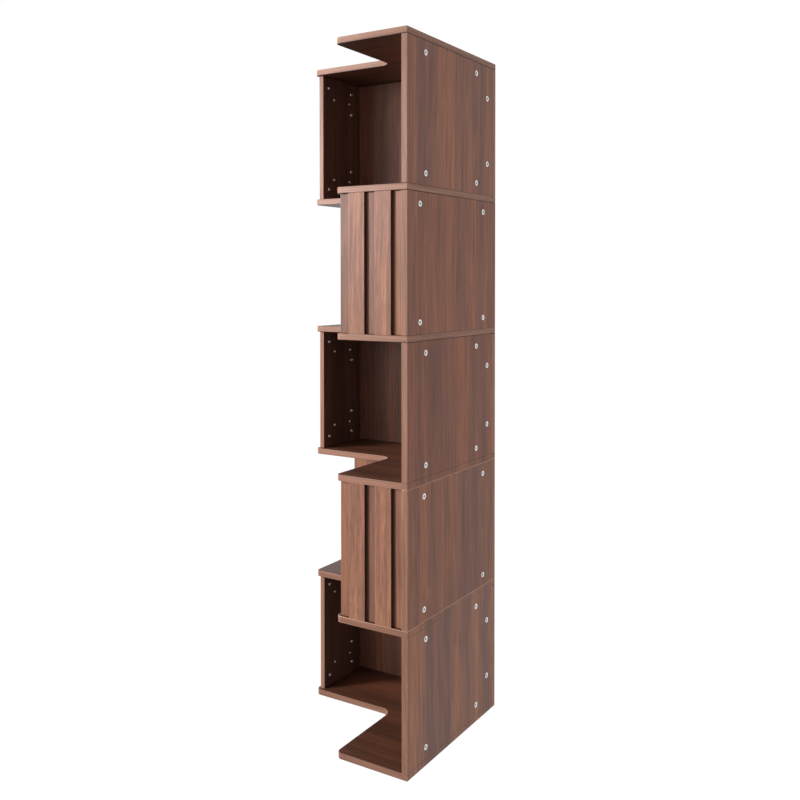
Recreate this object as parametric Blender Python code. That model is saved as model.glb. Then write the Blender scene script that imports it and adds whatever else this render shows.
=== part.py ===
"""Corner shelving unit: six L-shaped boards, five tiers of knock-down panels. Metres, +Z up.

The unit stands in a corner of a room. Its frame's origin is the middle of its floor square: the right
panels face +X, the back panels face +Y, and both arms end at the left (-X) and at the front (-Y).
Tiers are counted from the top. Odd tiers have their slatted screen at the left end, and even tiers are
the same tier mirrored in the unit's diagonal, so their screen closes the front end.
"""
import math

import bmesh
import bpy
from mathutils import Matrix, Vector

# Driving dimensions
ARM_LENGTH = 0.470
ARM_WIDTH = 0.210
BOARD_THICKNESS = 0.016
TIER1_CLEAR_HEIGHT = 0.353
TIER2_CLEAR_HEIGHT = 0.347
TIER3_CLEAR_HEIGHT = 0.336
TIER4_CLEAR_HEIGHT = 0.339
TIER5_CLEAR_HEIGHT = 0.329
PANEL_THICKNESS = 0.016
SCREEN_THICKNESS = 0.014
SCREEN_SETBACK = 0.010
SLAT_THICKNESS = 0.008
SLAT_WIDTH = 0.047
SEAT_GAP = 0.0003

# Rounding of the boards and the eased edges that all the pieces have
END_RADIUS = 0.015
INNER_RADIUS = 0.030
EDGE_EASE = 0.0007
ARC_STEPS = 6

# Cam locks: a drum in the panel's outer face, drawn tight on a bolt in the next piece
CAM_RADIUS = 0.0075
CAM_DEPTH = 0.0125
CAM_SETBACK = 0.030
CAM_CLEARANCE = 0.0003
CAM_SIDES = 16
BOLT_RADIUS = 0.0030
BOLT_SINK = 0.0105
BOLT_SIDES = 8
CROSS_LENGTH = 0.0090
CROSS_WIDTH = 0.0018
CROSS_DEPTH = 0.0020
BUTTED_CAM_FROM_FREE_END = 0.088
BUTTED_CAM_FROM_JOINT = 0.098
TIER2_CAM_FROM_FREE_END = 0.061
TIER4_CAM_FROM_FREE_END = 0.080
COVER_CAM_FROM_CORNER = 0.074
JOINT_CAM_SETBACK = 0.034
JOINT_CAM_FROM_BOARD = 0.087

# Places that follow from the driving dimensions
HALF = ARM_LENGTH / 2
INNER_EDGE = HALF - ARM_WIDTH
PANEL_INNER = HALF - PANEL_THICKNESS
SLAT_COUNT = 2
SCREEN_WIDTH = ARM_WIDTH - PANEL_THICKNESS - SCREEN_SETBACK
SLAT_RECESS = (SCREEN_WIDTH - SLAT_COUNT * SLAT_WIDTH) / (SLAT_COUNT + 1)
TIER_CLEAR_HEIGHTS = (TIER1_CLEAR_HEIGHT, TIER2_CLEAR_HEIGHT, TIER3_CLEAR_HEIGHT,
                      TIER4_CLEAR_HEIGHT, TIER5_CLEAR_HEIGHT)
TIER_COUNT = len(TIER_CLEAR_HEIGHTS)
COVER_FRONT_ROWS = {2: TIER2_CAM_FROM_FREE_END, 4: TIER4_CAM_FROM_FREE_END}
BOARD_NAMES = ("top_board", "second_board", "third_board",
               "fourth_board", "fifth_board", "bottom_board")


def make_material(name, colour, roughness, metallic):
    material = bpy.data.materials.new(name)
    material.use_nodes = True
    shader = material.node_tree.nodes["Principled BSDF"]
    shader.inputs["Base Color"].default_value = (*colour, 1)
    shader.inputs["Roughness"].default_value = roughness
    shader.inputs["Metallic"].default_value = metallic
    material.diffuse_color = (*colour, 1)
    return material


for old in list(bpy.data.objects):
    bpy.data.objects.remove(old, do_unlink=True)

BOARD_FINISH = make_material("walnut_board", (0.110, 0.046, 0.030), 0.42, 0)
SLAT_FINISH = make_material("walnut_slat", (0.150, 0.066, 0.042), 0.42, 0)
METAL_FINISH = make_material("zinc_cam", (0.62, 0.62, 0.60), 0.35, 1)


def add_object(name, mesh_source, material):
    """Turns a bmesh into a named object with one material."""
    bmesh.ops.recalc_face_normals(mesh_source, faces=mesh_source.faces)
    mesh = bpy.data.meshes.new(name)
    mesh_source.to_mesh(mesh)
    mesh_source.free()
    if material:
        mesh.materials.append(material)
    piece = bpy.data.objects.new(name, mesh)
    bpy.context.scene.collection.objects.link(piece)
    return piece


def ease_edges(mesh_source):
    """Takes the sharpness off every edge of a piece that is still a plain solid."""
    sharp = [edge for edge in mesh_source.edges if edge.calc_face_angle(0) > math.radians(40)]
    bmesh.ops.bevel(mesh_source, geom=sharp, offset=EDGE_EASE, segments=1, affect="EDGES")


def block(name, low, high, material, mirrored=False):
    """A rectangular piece between two corners, with X and Y exchanged in a mirrored tier."""
    low, high = Vector(low), Vector(high)
    if mirrored:
        low, high = low.yxz, high.yxz
    solid = bmesh.new()
    place = Matrix.Translation((low + high) / 2) @ Matrix.Diagonal((high - low).to_4d())
    bmesh.ops.create_cube(solid, size=1, matrix=place)
    ease_edges(solid)
    return add_object(name, solid, material)


def arc(centre, radius, start, end):
    """Points of a quarter round, from one angle to another."""
    angles = [start + (end - start) * step / ARC_STEPS for step in range(ARC_STEPS + 1)]
    return [(centre[0] + radius * math.cos(a), centre[1] + radius * math.sin(a)) for a in angles]


def board_outline():
    """The L of a board, anticlockwise: square at the three panel corners, rounded at the free ones."""
    right, back = 0, math.pi / 2
    left, front = math.pi, 1.5 * math.pi
    outline = [(HALF, -HALF), (HALF, HALF), (-HALF, HALF)]
    outline += arc((-HALF + END_RADIUS, INNER_EDGE + END_RADIUS), END_RADIUS, left, front)
    outline += arc((INNER_EDGE - INNER_RADIUS, INNER_EDGE - INNER_RADIUS), INNER_RADIUS, back, right)
    outline += arc((INNER_EDGE + END_RADIUS, -HALF + END_RADIUS), END_RADIUS, left, front)
    return outline


def board(name, bottom):
    solid = bmesh.new()
    ring = [solid.verts.new((x, y, bottom)) for x, y in board_outline()]
    face = solid.faces.new(ring)
    raised = bmesh.ops.extrude_face_region(solid, geom=[face])["geom"]
    top = [item for item in raised if isinstance(item, bmesh.types.BMVert)]
    bmesh.ops.translate(solid, vec=(0, 0, BOARD_THICKNESS), verts=top)
    ease_edges(solid)
    return add_object(name, solid, BOARD_FINISH)


def add_cylinder(mesh_source, start, end, radius, sides):
    """A closed cylinder from one point to another, turned so that flats face the world's axes."""
    start, end = Vector(start), Vector(end)
    turn = (end - start).to_track_quat("Z", "X").to_matrix().to_4x4()
    flat = Matrix.Rotation(math.pi / sides, 4, "Z")
    place = Matrix.Translation((start + end) / 2) @ turn @ flat
    bmesh.ops.create_cone(mesh_source, cap_ends=True, segments=sides, radius1=radius, radius2=radius,
                          depth=(end - start).length, matrix=place)


def hide_cutter(cutter):
    cutter.hide_render = True
    cutter.display_type = "WIRE"
    return cutter


def use_cutter(piece, cutter, operation="DIFFERENCE"):
    modifier = piece.modifiers.new(cutter.name, "BOOLEAN")
    modifier.operation = operation
    modifier.solver = "EXACT"
    modifier.object = cutter


def cam_lock_mesh(setback):
    """One drum with its drawn-up bolt, in its own frame: the outer face at X = 0, the bolt along +Z."""
    drum = bmesh.new()
    add_cylinder(drum, (-CAM_DEPTH, 0, 0), (0, 0, 0), CAM_RADIUS, CAM_SIDES)
    drum = hide_cutter(add_object("cam_drum", drum, METAL_FINISH))
    shaft = bmesh.new()
    middle = -PANEL_THICKNESS / 2
    add_cylinder(shaft, (middle, 0, 0), (middle, 0, setback + BOLT_SINK), BOLT_RADIUS, BOLT_SIDES)
    use_cutter(drum, hide_cutter(add_object("cam_bolt", shaft, METAL_FINISH)), "UNION")
    bars = {"cross_up": (CROSS_WIDTH, CROSS_LENGTH), "cross_over": (CROSS_LENGTH, CROSS_WIDTH)}
    for name, size in bars.items():
        slot = bmesh.new()
        scale = Matrix.Diagonal((2 * CROSS_DEPTH, *size, 1))
        bmesh.ops.create_cube(slot, size=1, matrix=scale)
        use_cutter(drum, hide_cutter(add_object(name, slot, METAL_FINISH)))
    evaluated = drum.evaluated_get(bpy.context.evaluated_depsgraph_get())
    mesh = bpy.data.meshes.new_from_object(evaluated)
    mesh.name = "cam_lock"
    for helper in ("cam_drum", "cam_bolt", *bars):
        bpy.data.objects.remove(bpy.data.objects[helper], do_unlink=True)
    return mesh


UP, DOWN, BACK = "up", "down", "back"
BOLT_TURNS = {UP: 0, DOWN: math.pi, BACK: -math.pi / 2}
BOLT_WAYS = {UP: Vector((0, 0, 1)), DOWN: Vector((0, 0, -1)), BACK: Vector((0, 1, 0))}
BOLT_SETBACKS = {UP: CAM_SETBACK, DOWN: CAM_SETBACK, BACK: JOINT_CAM_SETBACK}
BOARD_LOCK = cam_lock_mesh(CAM_SETBACK)
JOINT_LOCK = cam_lock_mesh(JOINT_CAM_SETBACK)
LOCK_MESHES = {UP: BOARD_LOCK, DOWN: BOARD_LOCK, BACK: JOINT_LOCK}


def cam_places(tier, bottom, top, mirrored):
    """Name, Y, Z and bolt direction of each cam lock in a tier's right panel."""
    if mirrored:
        rows = (("front", -HALF + COVER_FRONT_ROWS[tier]), ("rear", HALF - COVER_CAM_FROM_CORNER))
    else:
        rows = (("front", -HALF + BUTTED_CAM_FROM_FREE_END), ("rear", PANEL_INNER - BUTTED_CAM_FROM_JOINT))
    places = []
    for row, y in rows:
        places.append((f"top_{row}", y, top - CAM_SETBACK, UP))
        places.append((f"bottom_{row}", y, bottom + CAM_SETBACK, DOWN))
    if not mirrored:
        y = PANEL_INNER - JOINT_CAM_SETBACK
        places.append(("upper_joint", y, top - JOINT_CAM_FROM_BOARD, BACK))
        places.append(("lower_joint", y, bottom + JOINT_CAM_FROM_BOARD, BACK))
    return places


def add_cam_locks(tier, bottom, top, mirrored, side_panel, drilled):
    """Cam locks of one right panel, with their pockets in it and their bolts' holes in all they join."""
    pockets, holes = bmesh.new(), bmesh.new()
    for place, y, z, way in cam_places(tier, bottom, top, mirrored):
        lock = bpy.data.objects.new(f"tier{tier}_cam_{place}", LOCK_MESHES[way])
        bpy.context.scene.collection.objects.link(lock)
        lock.location = (HALF, y, z)
        lock.rotation_euler = (BOLT_TURNS[way], 0, 0)
        face, inner = HALF + CAM_DEPTH, HALF - CAM_DEPTH - CAM_CLEARANCE
        add_cylinder(pockets, (face, y, z), (inner, y, z), CAM_RADIUS + CAM_CLEARANCE, CAM_SIDES)
        middle = Vector((HALF - PANEL_THICKNESS / 2, y, z))
        tip = middle + BOLT_WAYS[way] * (BOLT_SETBACKS[way] + BOLT_SINK + CAM_CLEARANCE)
        add_cylinder(holes, middle, tip, BOLT_RADIUS + CAM_CLEARANCE, BOLT_SIDES)
    use_cutter(side_panel, hide_cutter(add_object(f"tier{tier}_pockets", pockets, None)))
    hole_cutter = hide_cutter(add_object(f"tier{tier}_bolt_holes", holes, None))
    for piece in drilled:
        use_cutter(piece, hole_cutter)


def add_screen(tier, low_z, high_z, mirrored):
    """The slatted screen that closes one arm's end: a plain panel with two upright slats on its outside."""
    outer = -HALF + SLAT_THICKNESS
    near = INNER_EDGE + SCREEN_SETBACK
    far = PANEL_INNER
    block(f"tier{tier}_screen_panel", (outer + SEAT_GAP, near, low_z),
          (outer + SCREEN_THICKNESS, far - SEAT_GAP, high_z), BOARD_FINISH, mirrored)
    for number in range(SLAT_COUNT):
        start = far - (number + 1) * (SLAT_RECESS + SLAT_WIDTH)
        block(f"tier{tier}_slat_{number + 1}", (-HALF, start, low_z),
              (outer, start + SLAT_WIDTH, high_z), SLAT_FINISH, mirrored)


def add_tier(tier, bottom, top, boards):
    """The upright pieces between two boards, which stand clear of them by the seat gap."""
    mirrored = tier % 2 == 0
    low_z, high_z = bottom + SEAT_GAP, top - SEAT_GAP
    butted = "back" if mirrored else "side"
    cover = "side" if mirrored else "back"
    panels = {}
    panels[butted] = block(f"tier{tier}_{butted}_panel", (PANEL_INNER, -HALF, low_z),
                           (HALF, PANEL_INNER - SEAT_GAP, high_z), BOARD_FINISH, mirrored)
    panels[cover] = block(f"tier{tier}_{cover}_panel", (-HALF, PANEL_INNER, low_z),
                          (HALF, HALF, high_z), BOARD_FINISH, mirrored)
    add_screen(tier, low_z, high_z, mirrored)
    drilled = list(panels.values()) + boards
    add_cam_locks(tier, bottom, top, mirrored, panels["side"], drilled)


def build():
    level = TIER_COUNT * BOARD_THICKNESS + sum(TIER_CLEAR_HEIGHTS)
    boards = [board(BOARD_NAMES[0], level)]
    for number, clear in enumerate(TIER_CLEAR_HEIGHTS):
        top = level
        bottom = top - clear
        level = bottom - BOARD_THICKNESS
        boards.append(board(BOARD_NAMES[number + 1], level))
        add_tier(number + 1, bottom, top, boards[-2:])


build()
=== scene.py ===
"""Looks of the corner shelving unit: walnut laminate, banded edges, slatted screens and zinc fasteners."""
import math

import bmesh
import bpy
from mathutils import Matrix, Vector


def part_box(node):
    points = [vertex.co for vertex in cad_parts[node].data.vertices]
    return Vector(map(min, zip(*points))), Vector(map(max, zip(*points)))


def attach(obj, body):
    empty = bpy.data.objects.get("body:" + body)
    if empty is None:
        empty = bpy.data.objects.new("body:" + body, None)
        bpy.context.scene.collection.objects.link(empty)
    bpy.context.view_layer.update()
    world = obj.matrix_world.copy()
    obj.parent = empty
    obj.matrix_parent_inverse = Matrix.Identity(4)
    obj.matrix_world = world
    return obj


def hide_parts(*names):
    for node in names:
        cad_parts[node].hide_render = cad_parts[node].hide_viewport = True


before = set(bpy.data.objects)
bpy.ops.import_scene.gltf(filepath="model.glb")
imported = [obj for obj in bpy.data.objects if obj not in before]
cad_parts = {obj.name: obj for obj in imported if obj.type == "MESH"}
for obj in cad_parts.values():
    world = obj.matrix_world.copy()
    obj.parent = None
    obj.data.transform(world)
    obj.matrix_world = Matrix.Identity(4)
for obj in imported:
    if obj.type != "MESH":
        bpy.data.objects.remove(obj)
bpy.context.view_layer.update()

# Camera
# It stands at the right of the front corner, two thirds of the unit's height up, and looks almost level.
# The lens is shifted down so that the whole height is in view with upright edges upright.
PHOTO_SIZE = 800
FOCAL_PIXELS = 921.6
LENS_CENTRE_ROW = 298.1
SENSOR_WIDTH = 36.0
CAMERA_PLACE = (1.3783, -2.0917, 1.2025)
CAMERA_YAW = 0.5597
CAMERA_PITCH = -0.0205
CAMERA_ROLL = 0.0005


def add_object(name, data):
    """A new object of the scene, which shows the given mesh, lamp or lens."""
    made = bpy.data.objects.new(name, data)
    bpy.context.scene.collection.objects.link(made)
    return made


lens = bpy.data.cameras.new("camera")
lens.sensor_width = SENSOR_WIDTH
lens.lens = SENSOR_WIDTH * FOCAL_PIXELS / PHOTO_SIZE
lens.shift_y = (LENS_CENTRE_ROW - PHOTO_SIZE / 2) / PHOTO_SIZE
camera = add_object("camera", lens)
camera.location = CAMERA_PLACE
camera.rotation_euler = (math.pi / 2 + CAMERA_PITCH, CAMERA_ROLL, CAMERA_YAW)
bpy.context.scene.camera = camera
bpy.context.scene.view_settings.view_transform = "Standard"

# Lights
# Two soft lamps at the left of the front, three that fill in from the right, and an even sky. The key
# rakes over the slats and leaves the inside of the screens in the dark. The broad one reaches into the bays.
LAMP_AIM = (0.0, 0.0, 0.9)
KEY_PLACE = (-2.40, -2.26, 1.9)
KEY_SIZE = (0.7, 1.2)
KEY_WATTS = 161.0
BROAD_PLACE = (-1.65, -2.86, 1.7)
BROAD_SIZE = (1.9, 1.2)
BROAD_WATTS = 40.0
FRONT_FILL_PLACE = (1.65, -2.86, 1.2)
FRONT_FILL_WATTS = 3.0
LOW_FILL_PLACE = (3.2, 0.2, 0.3)
HIGH_FILL_PLACE = (3.0, 0.2, 2.8)
FILL_SIZE = (1.4, 0.6)
LOW_FILL_WATTS = 41.0
HIGH_FILL_WATTS = 9.0
SKY_STRENGTH = 0.24
WHITE = (1.0, 1.0, 1.0, 1.0)


def add_node(tree, kind, inputs=None, **settings):
    """A node with its settings, whose inputs are given as values or as the sockets that feed them."""
    node = tree.nodes.new(kind)
    for key, value in settings.items():
        setattr(node, key, value)
    for key, value in (inputs or {}).items():
        if isinstance(value, bpy.types.NodeSocket):
            tree.links.new(value, node.inputs[key])
        else:
            node.inputs[key].default_value = value
    return node


def maths(tree, operation, first, second, clamped=False):
    """The result of a sum on two numbers, given as values or as sockets."""
    return add_node(tree, "ShaderNodeMath", {0: first, 1: second}, operation=operation,
                    use_clamp=clamped).outputs[0]


def seen_plainly(tree):
    """1 where a ray comes straight from the camera, off gloss or through glass, and 0 elsewhere."""
    path = add_node(tree, "ShaderNodeLightPath").outputs
    direct = maths(tree, "MAXIMUM", path["Is Camera Ray"], path["Is Glossy Ray"])
    return maths(tree, "MAXIMUM", direct, path["Is Transmission Ray"])


def add_lamp(name, place, size, watts):
    """A soft oblong lamp, turned to the middle of the unit."""
    lamp = bpy.data.lights.new(name, "AREA")
    lamp.shape = "RECTANGLE"
    lamp.size, lamp.size_y = size
    lamp.energy = watts
    holder = add_object(name, lamp)
    holder.location = place
    holder.rotation_euler = (Vector(LAMP_AIM) - Vector(place)).to_track_quat("-Z", "Y").to_euler()


add_lamp("key_lamp", KEY_PLACE, KEY_SIZE, KEY_WATTS)
add_lamp("broad_lamp", BROAD_PLACE, BROAD_SIZE, BROAD_WATTS)
add_lamp("front_fill_lamp", FRONT_FILL_PLACE, FILL_SIZE, FRONT_FILL_WATTS)
add_lamp("low_fill_lamp", LOW_FILL_PLACE, FILL_SIZE, LOW_FILL_WATTS)
add_lamp("high_fill_lamp", HIGH_FILL_PLACE, FILL_SIZE, HIGH_FILL_WATTS)

world = bpy.data.worlds.new("studio")
world.use_nodes = True
world.node_tree.nodes.clear()
sky = add_node(world.node_tree, "ShaderNodeBackground", {"Color": WHITE, "Strength": SKY_STRENGTH})
plain = add_node(world.node_tree, "ShaderNodeBackground", {"Color": WHITE, "Strength": 1.0})
shown = add_node(world.node_tree, "ShaderNodeMixShader",
                 {0: seen_plainly(world.node_tree), 1: sky.outputs[0], 2: plain.outputs[0]})
add_node(world.node_tree, "ShaderNodeOutputWorld", {"Surface": shown.outputs[0]})
bpy.context.scene.world = world

# Floor
# A white studio floor, a hair below the unit's underside. It takes a soft contact shadow, and is otherwise
# as white as the background.
FLOOR_SIZE = 60.0
FLOOR_GLOW = 1.16
FLOOR_GLOW_SHARE = 0.86
FLOOR_GREY = (0.3, 0.3, 0.3, 1)
FLOOR_DROP = 0.0006

floor_paint = bpy.data.materials.new("studio_floor")
floor_paint.use_nodes = True
floor_tree = floor_paint.node_tree
floor_tree.nodes.clear()
matt = add_node(floor_tree, "ShaderNodeBsdfDiffuse", {"Color": FLOOR_GREY})
glow = add_node(floor_tree, "ShaderNodeEmission", {"Color": WHITE, "Strength": FLOOR_GLOW})
share = maths(floor_tree, "MULTIPLY", seen_plainly(floor_tree), FLOOR_GLOW_SHARE)
floor_mix = add_node(floor_tree, "ShaderNodeMixShader", {0: share, 1: matt.outputs[0], 2: glow.outputs[0]})
add_node(floor_tree, "ShaderNodeOutputMaterial", {"Surface": floor_mix.outputs[0]})
floor_mesh = bpy.data.meshes.new("studio_floor")
floor_corners = [(x * FLOOR_SIZE / 2, y * FLOOR_SIZE / 2, -FLOOR_DROP)
                 for x, y in ((-1, -1), (1, -1), (1, 1), (-1, 1))]
floor_mesh.from_pydata(floor_corners, [], [(0, 1, 2, 3)])
floor_mesh.materials.append(floor_paint)
floor = add_object("studio_floor", floor_mesh)

# Upright panels
# Each tier stands on a side panel and a back panel of 16 mm particle board, faced with dark walnut
# laminate whose grain runs upright. Their edges carry a thin lighter band, and all of them are eased.
TIERS = (1, 2, 3, 4, 5)
EDGE_EASE = 0.0009
EASE_STEPS = 2
EASE_PROFILE = 0.5
SHARP_DEGREES = 40
SMOOTH_DEGREES = 20

# How far a face's normal points along an axis: less than the first stands upright, more than the second
# is square to the axis.
NORMAL_UPRIGHT = 0.2
NORMAL_SQUARE = 0.9

# Seams are marks on the upper and the lower eased edges: above 0 they take a painted highlight, below 0 a
# painted shade line.
SHADED_SEAM = (-0.9, 0.0)
HIGHLIT_SEAM = 2.0
SIDE_SEAMS = {3: (-0.5, 0.0), 4: (HIGHLIT_SEAM, HIGHLIT_SEAM), 5: (0.4, 0.4)}
EDGE_SHARE = 0.5

PANEL_PALE = (148, 99, 76)
PANEL_BODY = (113, 79, 68)
PANEL_DARK = (68, 50, 45)
BAND_PALE = (153, 112, 93)
BAND_BODY = (132, 93, 77)
BAND_DARK = (92, 62, 50)
# Colours of the painted highlight on eased edges, and of the painted shade at seams, beside the slats and on
# their narrow sides.
PAINTED_EDGE_HIGHLIGHT = (190, 146, 124)
PAINTED_SHADE = (40, 22, 14)
# Each tier's side panel takes its own tint of the laminate, as painted light: lighter at the top, darker and
# redder in tier 3, greyer at the bottom.
TIER_LIGHT_TINTS = {1: (1.07, 1.05, 1.04), 2: (0.985, 0.955, 0.95), 3: (0.965, 0.91, 0.89),
               4: (0.99, 0.965, 0.955), 5: (1.03, 1.045, 1.06)}

# The printed figure. Its bands, streaks and pores each have a noise detail and the two noise levels
# between which they rise.
FIGURE_WIDTH = 0.060
BAND_FIGURE_WIDTH = 0.020
FIGURE_ROUGHNESS = 0.6
FIGURE_BANDS = (2.0, 0.36, 0.66)
FIGURE_STREAKS = (4.0, 0.46, 0.74)
FIGURE_PORES = (2.0, 0.30, 0.66)
GRAIN_STRETCH = 0.03
DRIFT_SCALE = 3.1
DRIFT_DETAIL = 2.0
DRIFT_MIDDLE = (0.5, 0.5, 0.5)
DRIFT_SWAY = (0.022, 0.022, 0.0)
STREAK_FINENESS = 9.0
STREAK_SHARE = 0.6
BAND_STREAK_SHARE = 0.35
PORE_SCALE = 380.0
PORE_SHADE = (0.80, 1.08)
PORE_DULLER = 0.10
FACE_GLOSSIER = 0.03
PORE_RELIEF = 0.25
PORE_DEPTH = 0.0002
LAMINATE_ROUGHNESS = 0.42
LAMINATE_SPECULAR = 0.18
PANEL_LOT = 2.3
LOT_STEP = 1.7


def paint(colour):
    """A screen colour of 0 to 255 as the linear one that a shader takes."""
    shares = [value / 255 for value in colour]
    return tuple(s / 12.92 if s <= 0.04045 else ((s + 0.055) / 1.055) ** 2.4 for s in shares) + (1.0,)


def new_group(name, kind, sockets):
    """A node group whose sockets are given as rows of name, IN or OUT, type and standard value."""
    group = bpy.data.node_groups.new(name, kind)
    for label, way, socket_type, value in sockets:
        socket = group.interface.new_socket(name=label, in_out=way + "PUT",
                                            socket_type="NodeSocket" + socket_type)
        if value is not None:
            socket.default_value = value
    return group, group.nodes.new("NodeGroupInput").outputs, group.nodes.new("NodeGroupOutput").inputs


def vector_maths(tree, operation, first, second):
    """The result of a sum on two vectors, given as values or as sockets."""
    return add_node(tree, "ShaderNodeVectorMath", {0: first, 1: second}, operation=operation).outputs[0]


def shaded(tree, colour, shade):
    """A colour made darker or lighter by a factor."""
    return add_node(tree, "ShaderNodeVectorMath", {0: colour, "Scale": shade}, operation="SCALE").outputs[0]


def blended(tree, share, under, over):
    """A colour with a share of another one laid over it."""
    return add_node(tree, "ShaderNodeMix", {0: share, 6: under, 7: over}, data_type="RGBA").outputs[2]


def between(tree, value, low, high):
    """A value of 0 to 1 that is stretched to run from low to high."""
    return add_node(tree, "ShaderNodeMapRange", {"Value": value, "To Min": low, "To Max": high}).outputs[0]


def walnut_grain_group():
    """Walnut figure: wide soft bands, dark drifting streaks and fine pores, drawn out along Z."""
    group, given, result = new_group("walnut_grain", "ShaderNodeTree", [
        ("Vector", "IN", "Vector", None), ("Lot", "IN", "Float", 0.0),
        ("Figure Width", "IN", "Float", FIGURE_WIDTH), ("Pale", "IN", "Color", WHITE),
        ("Body", "IN", "Color", WHITE), ("Dark", "IN", "Color", WHITE),
        ("Streak Share", "IN", "Float", STREAK_SHARE), ("Color", "OUT", "Color", None),
        ("Pores", "OUT", "Float", None)])
    lot = add_node(group, "ShaderNodeCombineXYZ", {0: given["Lot"], 1: given["Lot"], 2: given["Lot"]})
    placed = vector_maths(group, "ADD", given["Vector"], lot.outputs[0])
    drift = add_node(group, "ShaderNodeTexNoise",
                     {"Vector": placed, "Scale": DRIFT_SCALE, "Detail": DRIFT_DETAIL})
    centred = vector_maths(group, "SUBTRACT", drift.outputs["Color"], DRIFT_MIDDLE)
    swayed = vector_maths(group, "ADD", placed, vector_maths(group, "MULTIPLY", centred, DRIFT_SWAY))
    drawn = vector_maths(group, "MULTIPLY", swayed, (1.0, 1.0, GRAIN_STRETCH))
    fine = vector_maths(group, "MULTIPLY", swayed, (1.0, 1.0, GRAIN_STRETCH / 2))
    figure_scale = maths(group, "DIVIDE", 1.0, given["Figure Width"])
    streak_scale = maths(group, "DIVIDE", STREAK_FINENESS, given["Figure Width"])

    def pattern(vector, scale, detail, low, high):
        """A soft mask that rises from 0 to 1 between two levels of a noise."""
        noise = add_node(group, "ShaderNodeTexNoise",
                         {"Vector": vector, "Scale": scale, "Detail": detail, "Roughness": FIGURE_ROUGHNESS})
        ranged = add_node(group, "ShaderNodeMapRange",
                          {"Value": noise.outputs[0], "From Min": low, "From Max": high})
        return ranged.outputs[0]

    bands = pattern(drawn, figure_scale, *FIGURE_BANDS)
    streaks = pattern(drawn, streak_scale, *FIGURE_STREAKS)
    pores = pattern(fine, PORE_SCALE, *FIGURE_PORES)
    ground = blended(group, bands, given["Body"], given["Pale"])
    streaked = blended(group, maths(group, "MULTIPLY", streaks, given["Streak Share"]), ground, given["Dark"])
    group.links.new(shaded(group, streaked, between(group, pores, *PORE_SHADE)), result["Color"])
    group.links.new(pores, result["Pores"])
    return group


def painted_edge_light_shade_group():
    """Paints a highlight where a mesh's edge mark is above 0, and shade where it is below 0."""
    group, given, result = new_group("worn_edge", "ShaderNodeTree", [
        ("Color", "IN", "Color", WHITE), ("Edge Color", "IN", "Color", WHITE),
        ("Seam Color", "IN", "Color", WHITE), ("Share", "IN", "Float", EDGE_SHARE),
        ("Color", "OUT", "Color", None)])
    mark = add_node(group, "ShaderNodeAttribute", attribute_name="worn_edge").outputs["Fac"]
    painted_edges = maths(group, "MULTIPLY", mark, given["Share"], clamped=True)
    shade_share = maths(group, "MULTIPLY", mark, -1.0, clamped=True)
    lit = blended(group, painted_edges, given["Color"], given["Edge Color"])
    group.links.new(blended(group, shade_share, lit, given["Seam Color"]), result["Color"])
    return group


WALNUT_GRAIN = walnut_grain_group()
PAINTED_EDGE_LIGHT_SHADE = painted_edge_light_shade_group()
UPRIGHT = ("X", "Y", "Z")
ACROSS = ("Y", "Z", "X")
AROUND = ("Z", "Z", "X+Y")


def grain_vector(tree, axes):
    """Object coordinates in the order across, across and along the grain. X+Y runs along a level band."""
    place = add_node(tree, "ShaderNodeTexCoord")
    split = add_node(tree, "ShaderNodeSeparateXYZ", {0: place.outputs["Object"]})
    sources = {axis: split.outputs[axis] for axis in "XYZ"}
    sources["X+Y"] = maths(tree, "ADD", sources["X"], sources["Y"])
    ordered = {number: sources[axis] for number, axis in enumerate(axes)}
    return add_node(tree, "ShaderNodeCombineXYZ", ordered).outputs[0]


def new_material(name):
    """A material, its node tree and the inputs of its shader."""
    material = bpy.data.materials.new(name)
    material.use_nodes = True
    return material, material.node_tree, material.node_tree.nodes["Principled BSDF"].inputs


def feed_shader(tree, shader, colour, roughness, height, relief, depth):
    """Feeds a shader's inputs with a colour, a roughness and a relief of the given strength and depth."""
    bump = add_node(tree, "ShaderNodeBump", {"Height": height, "Strength": relief, "Distance": depth})
    tree.links.new(colour, shader["Base Color"])
    tree.links.new(roughness, shader["Roughness"])
    tree.links.new(bump.outputs[0], shader["Normal"])


def walnut(name, axes, colours, figure_width=FIGURE_WIDTH, streak_share=STREAK_SHARE,
           specular=LAMINATE_SPECULAR):
    """Satin walnut laminate. Each piece's own lot number picks its stretch of the printed grain."""
    material, tree, shader = new_material(name)
    shader["Roughness"].default_value = LAMINATE_ROUGHNESS
    shader["Specular IOR Level"].default_value = specular
    pale, body, dark = (paint(colour) for colour in colours)
    lot = add_node(tree, "ShaderNodeAttribute", attribute_name="lot")
    grain = add_node(tree, "ShaderNodeGroup", {
        "Vector": grain_vector(tree, axes), "Lot": lot.outputs["Fac"], "Figure Width": figure_width,
        "Pale": pale, "Body": body, "Dark": dark, "Streak Share": streak_share}, node_tree=WALNUT_GRAIN)
    pores = grain.outputs["Pores"]
    edges = add_node(tree, "ShaderNodeGroup", {
        "Color": grain.outputs["Color"], "Edge Color": paint(PAINTED_EDGE_HIGHLIGHT), "Seam Color": paint(PAINTED_SHADE),
        "Share": EDGE_SHARE}, node_tree=PAINTED_EDGE_LIGHT_SHADE)
    gloss = between(tree, pores, LAMINATE_ROUGHNESS + PORE_DULLER, LAMINATE_ROUGHNESS - FACE_GLOSSIER)
    feed_shader(tree, shader, edges.outputs["Color"], gloss, pores, PORE_RELIEF, PORE_DEPTH)
    return material


def tinted(tint):
    """The panels' three colours, tinted for the light that falls on one tier."""
    return [[value * share for value, share in zip(colour, tint)]
            for colour in (PANEL_PALE, PANEL_BODY, PANEL_DARK)]


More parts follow.
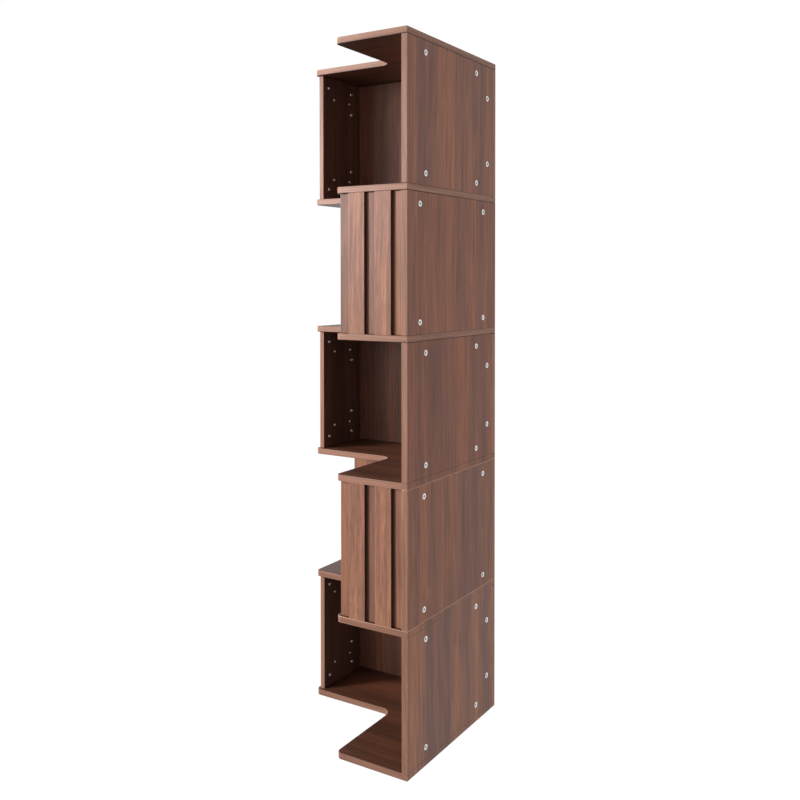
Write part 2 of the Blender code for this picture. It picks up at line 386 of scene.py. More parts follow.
UPRIGHT_WALNUT = walnut("walnut_upright", UPRIGHT, (PANEL_PALE, PANEL_BODY, PANEL_DARK))
UPRIGHT_BAND = walnut("edge_band_upright", UPRIGHT, (BAND_PALE, BAND_BODY, BAND_DARK), BAND_FIGURE_WIDTH,
                      BAND_STREAK_SHARE)
TIER_LIT_SIDE_WALNUTS = {tier: walnut(f"walnut_side_{tier}", UPRIGHT, tinted(tint))
                for tier, tint in TIER_LIGHT_TINTS.items()}


def mark_faces(mesh, name, values):
    """Stores one number for each face."""
    attribute = mesh.attributes.new(name, "FLOAT", "FACE")
    attribute.data.foreach_set("value", values)


def edge_mark(normal, seams):
    """1 on the upright eased edges, which take a painted highlight, and the given marks on the upper and the
    lower ones.
    """
    if abs(normal.z) < NORMAL_UPRIGHT:
        return 1.0
    return seams[0] if normal.z > 0 else seams[1]


def mesh_of(solid, name):
    """The mesh of a finished solid, which is let go."""
    mesh = bpy.data.meshes.new(name)
    solid.to_mesh(mesh)
    solid.free()
    return mesh


def eased_mesh(solid, name, lot, seams):
    """A mesh whose sharp edges are eased, and marked for a painted highlight or for a painted shade at seams.
    """
    sharp = [edge for edge in solid.edges if edge.calc_face_angle(0) > math.radians(SHARP_DEGREES)]
    eased = bmesh.ops.bevel(solid, geom=sharp, offset=EDGE_EASE, segments=EASE_STEPS, affect="EDGES",
                            profile=EASE_PROFILE)
    painted_edges = set(eased["faces"])
    solid.normal_update()
    marks = [edge_mark(face.normal, seams) if face in painted_edges else 0.0 for face in solid.faces]
    mesh = mesh_of(solid, name)
    mark_faces(mesh, "worn_edge", marks)
    mark_faces(mesh, "lot", [lot] * len(mesh.polygons))
    return mesh


def smooth_rounds(mesh, limit=SMOOTH_DEGREES):
    """Shades as round all that bends less than the limit, in degrees."""
    mesh.shade_smooth()
    mesh.set_sharp_from_angle(angle=math.radians(limit))


def settle(piece, limit=SMOOTH_DEGREES):
    """Ends a rigid piece: round stretches smooth, and carried by the one body."""
    smooth_rounds(piece.data, limit)
    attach(piece, "root")


def laminated(node, mesh):
    """The faced and banded piece of board that takes a node's place."""
    piece = add_object(node + "_laminated", mesh)
    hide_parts(node)
    return piece


def panel(node, lot, seams=SHADED_SEAM, finish=UPRIGHT_WALNUT):
    """A panel that fills a node's box: faced on its two large sides and banded on its edges."""
    low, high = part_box(node)
    size = high - low
    thin = min(range(3), key=lambda axis: size[axis])
    solid = bmesh.new()
    bmesh.ops.create_cube(solid, size=1,
                          matrix=Matrix.Translation((low + high) / 2) @ Matrix.Diagonal(size.to_4d()))
    mesh = eased_mesh(solid, node + "_laminated", lot, seams)
    for material in (finish, UPRIGHT_BAND):
        mesh.materials.append(material)
    for face in mesh.polygons:
        face.material_index = 0 if abs(face.normal[thin]) > NORMAL_SQUARE else 1
    return laminated(node, mesh)


# Cam locks
# Zinc drums, 15 mm across, sunk into the panels' outer faces and into the screens' inner ones. Each is
# turned half round with a driver to draw the bolt of the next piece tight.
CAM_RADIUS = 0.0075
CAM_DEPTH = 0.0125
CAM_CLEARANCE = 0.0003
POCKET_SIDES = 32
CAM_SETBACK = 0.030
CAM_DISH_RADIUS = 0.0043
CAM_DISH_FLOOR_SHARE = 0.86
CAM_DISH_DEPTH = 0.0007
CAM_RIM = 0.0004
ZINC = (236, 238, 238)
ZINC_RECESS = (96, 106, 112)
PLATE_ROUGHNESS = 0.38
PLATE_METALLIC = 0.5
MOTTLE_SCALE = 900.0
MOTTLE_DETAIL = 3.0
MOTTLE_SHADE = (0.90, 1.08)
MOTTLE_GLOSSIER = 0.08
MOTTLE_DULLER = 0.12
MOTTLE_RELIEF = 0.2
MOTTLE_DEPTH = 0.0001

# Length, width and depth of each bar of the driver's cross.
CAM_CROSS = (0.0070, 0.0016, 0.0022)


def zinc(name, roughness, metallic):
    """Plated zinc: fine mottling, and a darker, bluer tone in what lies below the face."""
    material, tree, shader = new_material(name)
    shader["Metallic"].default_value = metallic
    place = add_node(tree, "ShaderNodeTexCoord")
    mottle = add_node(tree, "ShaderNodeTexNoise", {
        "Vector": place.outputs["Object"], "Scale": MOTTLE_SCALE, "Detail": MOTTLE_DETAIL}).outputs[0]
    sunk = add_node(tree, "ShaderNodeAttribute", attribute_name="sunk")
    tint = blended(tree, sunk.outputs["Fac"], paint(ZINC), paint(ZINC_RECESS))
    mottled = shaded(tree, tint, between(tree, mottle, *MOTTLE_SHADE))
    dull = between(tree, mottle, roughness - MOTTLE_GLOSSIER, roughness + MOTTLE_DULLER)
    feed_shader(tree, shader, mottled, dull, mottle, MOTTLE_RELIEF, MOTTLE_DEPTH)
    return material


ZINC_PLATE = zinc("zinc_plate", PLATE_ROUGHNESS, PLATE_METALLIC)


def cylinder(solid, start, end, radius, sides):
    """Adds a closed cylinder from one point to another."""
    turn = (end - start).to_track_quat("Z", "X").to_matrix().to_4x4()
    bmesh.ops.create_cone(solid, cap_ends=True, segments=sides, radius1=radius, radius2=radius,
                          depth=(end - start).length, matrix=Matrix.Translation((start + end) / 2) @ turn)


def evaluated_copy(piece, name):
    """The piece's mesh with its modifiers applied."""
    mesh = bpy.data.meshes.new_from_object(piece.evaluated_get(bpy.context.evaluated_depsgraph_get()))
    mesh.name = name
    return mesh


def add_cutter(piece, solid, name):
    """Lets a solid cut into a piece, for as long as the modifier and the cutter that it gives are there."""
    cutter = add_object(name, mesh_of(solid, name))
    cut = piece.modifiers.new(name, "BOOLEAN")
    cut.object = cutter
    cut.solver = "EXACT"
    return cutter


def drill(piece, places, normal, radius, depth):
    """Sinks flat-bottomed pockets into a piece from points on its face."""
    pockets = bmesh.new()
    for place in places:
        cylinder(pockets, place + normal * depth, place - normal * depth, radius, POCKET_SIDES)
    cutter = add_cutter(piece, pockets, "pockets")
    drilled = evaluated_copy(piece, piece.name)
    piece.modifiers.clear()
    piece.data = drilled
    bpy.data.objects.remove(cutter, do_unlink=True)


def turned(profile, sides):
    """A solid of revolution round X, from the points (x, radius) of its profile."""
    solid = bmesh.new()
    rings = []
    for x, radius in profile:
        if radius == 0:
            rings.append([solid.verts.new((x, 0, 0))])
            continue
        angles = [2 * math.pi * step / sides for step in range(sides)]
        rings.append([solid.verts.new((x, radius * math.cos(a), radius * math.sin(a))) for a in angles])
    for inner, outer in zip(rings, rings[1:]):
        for step in range(sides):
            after = (step + 1) % sides
            loop = [inner[step % len(inner)], inner[after % len(inner)],
                    outer[after % len(outer)], outer[step % len(outer)]]
            solid.faces.new(list(dict.fromkeys(loop)))
    bmesh.ops.recalc_face_normals(solid, faces=solid.faces)
    return solid


def cross_recessed(solid, name, cross, sunk_from, reach):
    """Cuts a driver's cross into the face at X = 0, and marks as sunk what lies deeper, within the reach."""
    length, width, depth = cross
    head = add_object(name, mesh_of(solid, name))
    cutters = []
    for size in ((2 * depth, width, length), (2 * depth, length, width)):
        bar = bmesh.new()
        bmesh.ops.create_cube(bar, size=1, matrix=Matrix.Diagonal(Vector(size).to_4d()))
        cutters.append(add_cutter(head, bar, "driver_bar"))
    bpy.context.view_layer.update()
    mesh = evaluated_copy(head, name)
    for made in cutters + [head]:
        bpy.data.objects.remove(made, do_unlink=True)
    middles = [face.center for face in mesh.polygons]
    reach = max(length / 2, reach)
    mark_faces(mesh, "sunk", [1.0 if m.x < -sunk_from and m.yz.length < reach else 0.0 for m in middles])
    smooth_rounds(mesh)
    return mesh


def cam_lock_mesh():
    """A drum with its dished face at X = 0."""
    drum = turned([(-CAM_DISH_DEPTH, 0), (-CAM_DISH_DEPTH, CAM_DISH_RADIUS * CAM_DISH_FLOOR_SHARE),
                   (0, CAM_DISH_RADIUS), (0, CAM_RADIUS - CAM_RIM), (-CAM_RIM, CAM_RADIUS),
                   (-CAM_DEPTH, CAM_RADIUS), (-CAM_DEPTH, 0)], POCKET_SIDES)
    return cross_recessed(drum, "cam_drum", CAM_CROSS, CAM_DISH_DEPTH / 2, CAM_DISH_RADIUS)


def finish_instances(tree, placed, finish, result):
    """Ends a geometry tree: its instances become real faces with one finish."""
    real = add_node(tree, "GeometryNodeRealizeInstances", {0: placed.outputs[0]})
    finished = add_node(tree, "GeometryNodeSetMaterial", {"Geometry": real.outputs[0], "Material": finish})
    tree.links.new(finished.outputs[0], result)


def fastener_tree():
    """Sets a fastener on each given point, its face turned to the side and its bolt to the point's turn."""
    tree, given, result = new_group("fastener_set", "GeometryNodeTree", [
        ("Geometry", "IN", "Geometry", None), ("Fastener", "IN", "Object", None),
        ("Facing", "IN", "Float", 0.0), ("Finish", "IN", "Material", None),
        ("Geometry", "OUT", "Geometry", None)])
    turn = add_node(tree, "GeometryNodeInputNamedAttribute", {"Name": "turn"}, data_type="FLOAT")
    angles = add_node(tree, "ShaderNodeCombineXYZ", {0: turn.outputs[0], 2: given["Facing"]})
    rotation = add_node(tree, "FunctionNodeEulerToRotation", {0: angles.outputs[0]})
    source = add_node(tree, "GeometryNodeObjectInfo", {"Object": given["Fastener"], "As Instance": True})
    placed = add_node(tree, "GeometryNodeInstanceOnPoints", {
        "Points": given["Geometry"], "Instance": source.outputs["Geometry"], "Rotation": rotation.outputs[0]})
    finish_instances(tree, placed, given["Finish"], result["Geometry"])
    return tree


def grow(tree, source, inputs, name):
    """Runs a geometry tree on a mesh and gives the plain result, with no modifier left."""
    holder = add_object(name, source)
    maker = holder.modifiers.new("maker", "NODES")
    maker.node_group = tree
    for socket in tree.interface.items_tree:
        if socket.item_type == "SOCKET" and socket.in_out == "INPUT" and socket.name in inputs:
            maker[socket.identifier] = inputs[socket.name]
    bpy.context.view_layer.update()
    mesh = evaluated_copy(holder, name)
    bpy.data.objects.remove(holder, do_unlink=True)
    return add_object(name, mesh)


FASTENERS = fastener_tree()
CAM_LOCK = bpy.data.objects.new("cam_lock_pattern", cam_lock_mesh())
FACING = {"X": 0.0, "Y": math.pi / 2}
NORMALS = {"X": Vector((1, 0, 0)), "Y": Vector((0, 1, 0))}
BOLT_UP, BOLT_DOWN, BOLT_BACK = 0.0, math.pi, -math.pi / 2


def fasteners(name, pattern, finish, side, places, turns):
    """A set of like fasteners in one face, which looks along X or along Y."""
    points = bpy.data.meshes.new(name)
    points.from_pydata(places, [], [])
    points.attributes.new("turn", "FLOAT", "POINT").data.foreach_set("value", turns)
    piece = grow(FASTENERS, points, {"Fastener": pattern, "Facing": FACING[side], "Finish": finish}, name)
    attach(piece, "root")
    return piece


# Side and back panels of each tier, drilled for their cam locks
# The side panel's locks stand where the frame has them. Each back panel is the mirror image of a side panel
# in the unit's diagonal, so its locks are at the same places as in tier 1 or 2, counted along X.
BACK_LOT_SHIFT = 0.6


def tier_is_mirrored(tier):
    """Whether the side panel runs the full depth, so that the back panel butts against it."""
    return tier % 2 == 0


def lock_names(mirrored):
    """A full-depth panel is held to the boards alone, and a butted one to the panel behind it too."""
    names = ["top_front", "top_rear", "bottom_front", "bottom_rear"]
    return names if mirrored else names + ["upper_joint", "lower_joint"]


def lock_turn(name):
    """Which way a lock's bolt points from its drum."""
    if name.endswith("joint"):
        return BOLT_BACK
    return BOLT_UP if name.startswith("top") else BOLT_DOWN


def drum_height(name, bottom, top, from_board):
    """Height of a drum's middle in a panel between two boards. The joint's drums lie further from them."""
    heights = {"top": top - CAM_SETBACK, "bottom": bottom + CAM_SETBACK,
               "upper": top - from_board, "lower": bottom + from_board}
    return heights[name.split("_")[0]]


def drum_middle(node):
    """Middle of the drum of a cam lock of the frame, on its outer face. The bolt leaves it on one side."""
    low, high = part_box(node)
    if node.endswith("joint"):
        return Vector((high.x, low.y + CAM_RADIUS, (low.z + high.z) / 2))
    z = low.z + CAM_RADIUS if "_top_" in node else high.z - CAM_RADIUS
    return Vector((high.x, (low.y + high.y) / 2, z))


side_rows = {}
for tier in TIERS:
    mirrored = tier_is_mirrored(tier)
    names = lock_names(mirrored)
    nodes = [f"tier{tier}_cam_{name}" for name in names]
    middles = [drum_middle(node) for node in nodes]
    side_rows.setdefault(mirrored, {name: middle.y for name, middle in zip(names, middles)})
    side = panel(f"tier{tier}_side_panel", PANEL_LOT + tier * LOT_STEP, SIDE_SEAMS.get(tier, SHADED_SEAM),
                 TIER_LIT_SIDE_WALNUTS[tier])
    drill(side, middles, NORMALS["X"], CAM_RADIUS + CAM_CLEARANCE, CAM_DEPTH + CAM_CLEARANCE)
    settle(side)
    locks = fasteners(f"tier{tier}_side_cam_locks", CAM_LOCK, ZINC_PLATE, "X", middles,
                      [lock_turn(name) for name in names])
    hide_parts(*nodes)

joint_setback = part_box("tier1_side_panel")[1].z - drum_middle("tier1_cam_upper_joint").z
for tier in TIERS:
    mirrored = not tier_is_mirrored(tier)
    low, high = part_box(f"tier{tier}_back_panel")
    names = lock_names(mirrored)
    middles = [Vector((side_rows[mirrored][name], high.y, drum_height(name, low.z, high.z, joint_setback)))
               for name in names]
    back = panel(f"tier{tier}_back_panel", PANEL_LOT + tier * LOT_STEP + BACK_LOT_SHIFT)
    drill(back, middles, NORMALS["Y"], CAM_RADIUS + CAM_CLEARANCE, CAM_DEPTH + CAM_CLEARANCE)
    settle(back)
    fasteners(f"tier{tier}_back_cam_locks", CAM_LOCK, ZINC_PLATE, "Y", middles,
              [lock_turn(name) for name in names])

# L-shaped boards
# Six like boards of 16 mm, cut from faced sheet with the grain along X, so it runs the length of one arm.
# The free corners are rounded, the inner corner is filleted, and the band follows the whole edge.
END_RADIUS = 0.015
INNER_RADIUS = 0.030
CORNER_STEPS = 12
MERGE_DISTANCE = 0.00001
SCREEN_SETBACK = 0.010
BOARD_NODES = ("top_board", "second_board", "third_board", "fourth_board", "fifth_board", "bottom_board")
BOARD_LOT = 11.3
# Marks of the boards' upper and lower eased edges: above 0 a painted highlight, below 0 a painted shade.
BOARD_SEAMS = {"fourth_board": (0.4, HIGHLIT_SEAM), "fifth_board": (HIGHLIT_SEAM, 0.4),
               "bottom_board": (0.4, 0.0)}
COMMON_SEAMS = (0.5, -0.6)
FACED_WITH_TIER = {"fourth_board": 3, "fifth_board": 5, "bottom_board": 5}
BANDED_TO_CORNER = ("fifth_board",)

# The boards' faces take a much darker copy of the laminate than the panels: painted shade, for the little
# light that reaches the level faces.
SHADED_LEVEL_PALE = (101, 60, 42)
SHADED_LEVEL_BODY = (72, 43, 32)
SHADED_LEVEL_DARK = (38, 24, 19)
LEVEL_SPECULAR = 0.32
SHADED_LEVEL_WALNUT = walnut("walnut_level", ACROSS, (SHADED_LEVEL_PALE, SHADED_LEVEL_BODY, SHADED_LEVEL_DARK), specular=LEVEL_SPECULAR)
LEVEL_BAND = walnut("edge_band_level", AROUND, (BAND_PALE, BAND_BODY, BAND_DARK), BAND_FIGURE_WIDTH,
                    BAND_STREAK_SHARE)


def raised_outline_group():
    """Fills a closed level curve and raises it into a solid, with a finish on its faces and one round it."""
    tree, given, result = new_group("raised_outline", "GeometryNodeTree", [
        ("Outline", "IN", "Geometry", None), ("Height", "IN", "Float", 0.01),
        ("Face Finish", "IN", "Material", None), ("Side Finish", "IN", "Material", None),
        ("Solid", "OUT", "Geometry", None)])
    filled = add_node(tree, "GeometryNodeFillCurve", {0: given["Outline"]}, mode="NGONS")
    faced = add_node(tree, "GeometryNodeSetMaterial",
                     {"Geometry": filled.outputs[0], "Material": given["Face Finish"]})
    raised = add_node(tree, "GeometryNodeExtrudeMesh",
                      {"Mesh": faced.outputs[0], "Offset": (0, 0, 1), "Offset Scale": given["Height"],
                       "Individual": False})
    banded = add_node(tree, "GeometryNodeSetMaterial",
                      {"Geometry": raised.outputs["Mesh"], "Selection": raised.outputs["Side"],
                       "Material": given["Side Finish"]})
    under = add_node(tree, "GeometryNodeFlipFaces", {0: faced.outputs[0]})
    joined = add_node(tree, "GeometryNodeJoinGeometry", {0: banded.outputs[0]})
    tree.links.new(under.outputs[0], joined.inputs[0])
    closed = add_node(tree, "GeometryNodeMergeByDistance",
                      {"Geometry": joined.outputs[0], "Distance": MERGE_DISTANCE})
    tree.links.new(closed.outputs[0], result["Solid"])
    return tree


def board_tree():
    """A board from its six corners, each of which says how far it is rounded."""
    tree, given, result = new_group("l_board", "GeometryNodeTree", [
        ("Geometry", "IN", "Geometry", None), ("Thickness", "IN", "Float", 0.016),
        ("Corner Steps", "IN", "Int", 8), ("Underside", "IN", "Vector", (0.0, 0.0, 0.0)),
        ("Face Finish", "IN", "Material", None), ("Band Finish", "IN", "Material", None),
        ("Geometry", "OUT", "Geometry", None)])
    outline = add_node(tree, "GeometryNodeMeshToCurve", {"Mesh": given["Geometry"]})
    rounding = add_node(tree, "GeometryNodeInputNamedAttribute", {"Name": "rounding"}, data_type="FLOAT")
    rounded = add_node(tree, "GeometryNodeFilletCurve",
                       {"Curve": outline.outputs[0], "Count": given["Corner Steps"],
                        "Radius": rounding.outputs[0], "Limit Radius": True}, mode="POLY")
    solid = add_node(tree, "GeometryNodeGroup", {
        "Outline": rounded.outputs[0], "Height": given["Thickness"], "Face Finish": given["Face Finish"],
        "Side Finish": given["Band Finish"]}, node_tree=RAISED_OUTLINE)
    lifted = add_node(tree, "GeometryNodeTransform",
                      {"Geometry": solid.outputs[0], "Translation": given["Underside"]})
    tree.links.new(lifted.outputs[0], result["Geometry"])
    return tree


def split_faces(solid, place, direction):
    """Splits the faces of a solid along a plane."""
    bmesh.ops.bisect_plane(solid, geom=solid.verts[:] + solid.edges[:] + solid.faces[:],
                           plane_co=place, plane_no=direction)


def face_right_end(mesh, lot, split):
    """Finishes a board's right end like the side panel on it, so that the grain and the band run on."""
    for face in mesh.polygons:
        if face.normal.x > NORMAL_SQUARE:
            face.material_index = len(mesh.materials) - 2
        elif face.normal.y < -NORMAL_SQUARE and face.center.x > split:
            face.material_index = len(mesh.materials) - 1
        else:
            continue
        mesh.attributes["lot"].data[face.index].value = lot


def calm_left_arm(mesh, inner_edge):
    """Takes a light seam back to a common edge on the left arm, where the photo shows none."""
    marks = mesh.attributes["worn_edge"].data
    for face in mesh.polygons:
        if face.center.x < inner_edge and marks[face.index].value == HIGHLIT_SEAM:
            marks[face.index].value = COMMON_SEAMS[0 if face.normal.z > 0 else 1]


RAISED_OUTLINE = raised_outline_group()
BOARD_MAKER = board_tree()
INNER_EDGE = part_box("tier1_screen_panel")[0].y - SCREEN_SETBACK
for number, node in enumerate(BOARD_NODES):
    low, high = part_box(node)
    corners = [(high.x, low.y), (high.x, high.y), (low.x, high.y),
               (low.x, INNER_EDGE), (INNER_EDGE, INNER_EDGE), (INNER_EDGE, low.y)]
    rounding = [0, 0, 0, END_RADIUS, INNER_RADIUS, END_RADIUS]
    outline = bpy.data.meshes.new(node)
    ring = [(i, (i + 1) % len(corners)) for i in range(len(corners))]
    outline.from_pydata([(x, y, 0) for x, y in corners], ring, [])
    outline.attributes.new("rounding", "FLOAT", "POINT").data.foreach_set("value", rounding)
    plain_board = grow(BOARD_MAKER, outline, {
        "Thickness": high.z - low.z, "Corner Steps": CORNER_STEPS, "Underside": Vector((0, 0, low.z)),
        "Face Finish": SHADED_LEVEL_WALNUT, "Band Finish": LEVEL_BAND}, node + "_raw")
    solid = bmesh.new()
    solid.from_mesh(plain_board.data)
    split = high.x if node in BANDED_TO_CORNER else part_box("tier1_side_panel")[0].x
    if node in FACED_WITH_TIER:
        split_faces(solid, (split, 0, 0), (1, 0, 0))
    mesh = eased_mesh(solid, node + "_laminated", BOARD_LOT + number * LOT_STEP,
                      BOARD_SEAMS.get(node, COMMON_SEAMS))
    end_finish = TIER_LIT_SIDE_WALNUTS[FACED_WITH_TIER.get(node, 1)]
    for material in list(plain_board.data.materials) + [end_finish, UPRIGHT_BAND]:
        mesh.materials.append(material)
    if node in FACED_WITH_TIER:
        face_right_end(mesh, PANEL_LOT + FACED_WITH_TIER[node] * LOT_STEP, split)
    calm_left_arm(mesh, INNER_EDGE)
    bpy.data.objects.remove(plain_board, do_unlink=True)
    settle(laminated(node, mesh))

# Screens
# A 14 mm panel across the end of one arm: the left end in odd tiers, the front end in even ones. It is
# locked to the boards and to the upright behind it from its inner face, where the slats' screws show too.
SCREEN_FRONT_ROW = 0.028
SCREEN_REAR_ROW = 0.044
SCREEN_JOINT_FROM_BOARD = 0.091
SCREW_FROM_BOARD = 0.060
SCREW_RADIUS = 0.0042
SCREW_DEPTH = 0.0030
SCREW_DOME = 0.0016
SCREW_TURN = 0.4
SMALL_CROSS = (0.0040, 0.0009, 0.0010)
SMALL_CAM_DOME = 0.0020
SMALL_CAM = 0.72
DOME_STEPS = 5
SHANK_SHARE = 0.6
SPARK_ROUGHNESS = 0.25
SPARK_METALLIC = 1.0
SCREEN_LOT = 31.9
NORMAL_EXACT = 0.98
# A darker, less red copy of the laminate, as painted shade on the left screens' inner faces deep in their
# bays.
SHADED_INSIDE_PALE = (118, 89, 74)
SHADED_INSIDE_BODY = (92, 72, 65)
SHADED_INSIDE_DARK = (54, 45, 42)

# Width and mark of the painted shadow strips beside a slat's foot, the narrow one first.
SLAT_SHADOW_STRIPS = ((0.006, -0.5), (0.008, -0.2))

SHADED_INSIDE_WALNUT = walnut("walnut_inside", UPRIGHT, (SHADED_INSIDE_PALE, SHADED_INSIDE_BODY, SHADED_INSIDE_DARK))
ZINC_SPARK = zinc("zinc_spark", SPARK_ROUGHNESS, SPARK_METALLIC)


def domed_head_mesh(name, radius, dome, depth):
    """A head that stands out of the face at X = 0 as a shallow dome, one side of which catches the light."""
    turns = [math.pi / 2 * step / DOME_STEPS for step in range(DOME_STEPS + 1)]
    profile = [(dome * math.cos(turn), radius * math.sin(turn)) for turn in turns]
    shank = [(-depth, radius * SHANK_SHARE), (-depth, 0)]
    head = turned([(dome, 0)] + profile[1:] + shank, POCKET_SIDES // 2)
    bmesh.ops.translate(head, verts=head.verts, vec=(-dome, 0, 0))
    mesh = cross_recessed(head, name, SMALL_CROSS, dome * 2, radius)
    mesh.transform(Matrix.Translation((dome, 0, 0)))
    return mesh


def paint_slat_shadows(mesh, along, feet):
    """Paints shadow into narrow strips of a screen's outer face, at the foot of each slat's shaded side."""
    solid = bmesh.new()
    solid.from_mesh(mesh)
    direction = Vector((along == 0, along == 1, 0))
    for foot in feet:
        for reach in [0.0] + [width for width, _ in SLAT_SHADOW_STRIPS]:
            split_faces(solid, direction * (foot + reach), direction)
    marks = solid.faces.layers.float["worn_edge"]
    for face in solid.faces:
        if face.normal[1 - along] > -NORMAL_SQUARE:
            continue
        gaps = [face.calc_center_median()[along] - foot for foot in feet]
        for width, mark in reversed(SLAT_SHADOW_STRIPS):
            if any(0 < gap < width for gap in gaps):
                face[marks] = mark
    solid.to_mesh(mesh)
    solid.free()


def paint_shade_inside(mesh):
    """Paints shade into a left screen's inner face, deep in its bay: a duller and darker copy of the
    laminate.
    """
    mesh.materials.append(SHADED_INSIDE_WALNUT)
    for face in mesh.polygons:
        if face.normal.x > NORMAL_EXACT:
            face.material_index = len(mesh.materials) - 1


def on_inner_face(side, corner, along, z):
    """A point of a screen's inner face, from its place along the screen's width and its height."""
    return Vector((along, corner.y, z)) if side == "Y" else Vector((corner.x, along, z))


SLAT_SCREW = bpy.data.objects.new("slat_screw_pattern", domed_head_mesh(
    "slat_screw", SCREW_RADIUS, SCREW_DOME, SCREW_DEPTH))
SMALL_CAM_LOCK = bpy.data.objects.new("small_cam_lock_pattern", domed_head_mesh(
    "small_cam_drum", CAM_RADIUS * SMALL_CAM, SMALL_CAM_DOME, CAM_DEPTH))
for tier in TIERS:
    side, along = ("Y", 0) if tier_is_mirrored(tier) else ("X", 1)
    low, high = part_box(f"tier{tier}_screen_panel")
    front, rear = low[along] + SCREEN_FRONT_ROW, high[along] - SCREEN_REAR_ROW
    locks = ((front, high.z - CAM_SETBACK, BOLT_UP), (rear, high.z - CAM_SETBACK, BOLT_UP),
             (front, low.z + CAM_SETBACK, BOLT_DOWN), (rear, low.z + CAM_SETBACK, BOLT_DOWN),
             (rear, high.z - SCREEN_JOINT_FROM_BOARD, BOLT_BACK),
             (rear, low.z + SCREEN_JOINT_FROM_BOARD, BOLT_BACK))
    drums = [on_inner_face(side, high, place, z) for place, z, _ in locks]
    slat_boxes = [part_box(f"tier{tier}_slat_{number}") for number in (1, 2)]
    screws = [on_inner_face(side, high, ((a + b) / 2)[along], z) for a, b in slat_boxes
              for z in (low.z + SCREW_FROM_BOARD, high.z - SCREW_FROM_BOARD)]
    screen = panel(f"tier{tier}_screen_panel", SCREEN_LOT + tier * LOT_STEP)
    # Painted shadow beside the foot of each slat.
    paint_slat_shadows(screen.data, along, [high_corner[along] for _, high_corner in slat_boxes])
    if side == "X":
        paint_shade_inside(screen.data)
    drill(screen, drums, NORMALS[side], CAM_RADIUS * SMALL_CAM + CAM_CLEARANCE, CAM_DEPTH + CAM_CLEARANCE)
    drill(screen, screws, NORMALS[side], SCREW_RADIUS + CAM_CLEARANCE, SCREW_DEPTH + CAM_CLEARANCE)
    settle(screen)
    fasteners(f"tier{tier}_screen_cam_locks", SMALL_CAM_LOCK, ZINC_SPARK, side, drums,
              [turn for _, _, turn in locks])
    fasteners(f"tier{tier}_slat_screws", SLAT_SCREW, ZINC_SPARK, side, screws,
              [SCREW_TURN + i for i in range(len(screws))])

# Slats
# Two upright slats, 47 by 8 mm, on each screen's outer face, flush with the boards' edges. They are
# faced all round, with small round edges, and screwed on from behind.
SLAT_EDGE_RADIUS = 0.0012
SLAT_EDGE_STEPS = 4
SLAT_SMOOTH_DEGREES = 10
# The slats' edge marks: painted shade on the narrow sides, and a painted highlight on the outer round edges.
SLAT_SIDE_SHADE = -0.78
SLAT_OUTER_HIGHLIGHT = 2.0
SLAT_PALE = (162, 112, 89)
SLAT_BODY = (130, 90, 74)
SLAT_DARK = (72, 49, 40)
SLAT_FIGURE_WIDTH = 0.014
SLAT_STREAK_SHARE = 0.7
SLAT_LOT = 51.7

SLAT_WALNUT = walnut("walnut_slat", UPRIGHT, (SLAT_PALE, SLAT_BODY, SLAT_DARK), SLAT_FIGURE_WIDTH,
                     SLAT_STREAK_SHARE)


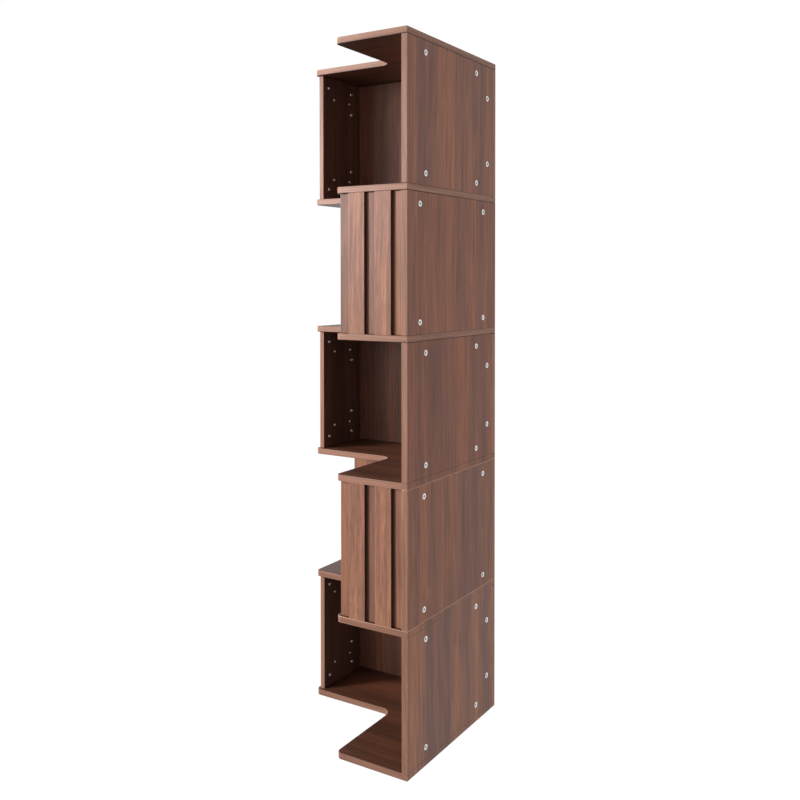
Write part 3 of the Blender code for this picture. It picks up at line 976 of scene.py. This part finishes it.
def slat_tree():
    """A row of upright slats from the first one's middle: rounded oblongs raised to the tier's height."""
    tree, given, result = new_group("slat_row", "GeometryNodeTree", [
        ("Geometry", "IN", "Geometry", None), ("Along X", "IN", "Float", 0.047),
        ("Along Y", "IN", "Float", 0.010), ("Edge Radius", "IN", "Float", 0.001),
        ("Edge Steps", "IN", "Int", 4), ("Height", "IN", "Float", 0.3), ("Count", "IN", "Int", 2),
        ("Pitch", "IN", "Vector", (0.0, 0.077, 0.0)), ("First", "IN", "Vector", (0.0, 0.0, 0.0)),
        ("Finish", "IN", "Material", None), ("Geometry", "OUT", "Geometry", None)])
    oblong = add_node(tree, "GeometryNodeCurvePrimitiveQuadrilateral",
                      {"Width": given["Along X"], "Height": given["Along Y"]})
    rounded = add_node(tree, "GeometryNodeFilletCurve",
                       {"Curve": oblong.outputs[0], "Count": given["Edge Steps"],
                        "Radius": given["Edge Radius"]}, mode="POLY")
    solid = add_node(tree, "GeometryNodeGroup", {
        "Outline": rounded.outputs[0], "Height": given["Height"], "Face Finish": given["Finish"],
        "Side Finish": given["Finish"]}, node_tree=RAISED_OUTLINE)
    row = add_node(tree, "GeometryNodeMeshLine",
                   {"Count": given["Count"], "Start Location": given["First"], "Offset": given["Pitch"]})
    placed = add_node(tree, "GeometryNodeInstanceOnPoints",
                      {"Points": row.outputs[0], "Instance": solid.outputs[0]})
    finish_instances(tree, placed, given["Finish"], result["Geometry"])
    return tree


def slat_mark(normal, thin):
    """A painted highlight on the rounded edges, most on the outer ones, and painted shade on the narrow sides
    between them.
    """
    if abs(normal[thin]) > NORMAL_EXACT or abs(normal.z) > NORMAL_EXACT:
        return 0.0
    if abs(normal[1 - thin]) > NORMAL_EXACT:
        return SLAT_SIDE_SHADE
    return SLAT_OUTER_HIGHLIGHT if normal[1 - thin] < 0 else 1.0


SLAT_MAKER = slat_tree()
for tier in TIERS:
    boxes = [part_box(f"tier{tier}_slat_{number}") for number in (1, 2)]
    size = boxes[0][1] - boxes[0][0]
    middles = [(a + b) / 2 for a, b in boxes]
    first = Vector((middles[0].x, middles[0].y, boxes[0][0].z))
    empty = bpy.data.meshes.new("slats")
    slats = grow(SLAT_MAKER, empty, {
        "Along X": size.x, "Along Y": size.y, "Edge Radius": SLAT_EDGE_RADIUS,
        "Edge Steps": SLAT_EDGE_STEPS, "Height": size.z, "Count": len(boxes),
        "Pitch": middles[1] - middles[0], "First": first, "Finish": SLAT_WALNUT}, f"tier{tier}_slats")
    mark_faces(slats.data, "lot", [SLAT_LOT + tier * LOT_STEP] * len(slats.data.polygons))
    thin = 0 if size.x < size.y else 1
    mark_faces(slats.data, "worn_edge", [slat_mark(face.normal, thin) for face in slats.data.polygons])
    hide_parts(f"tier{tier}_slat_1", f"tier{tier}_slat_2")
    settle(slats, SLAT_SMOOTH_DEGREES)
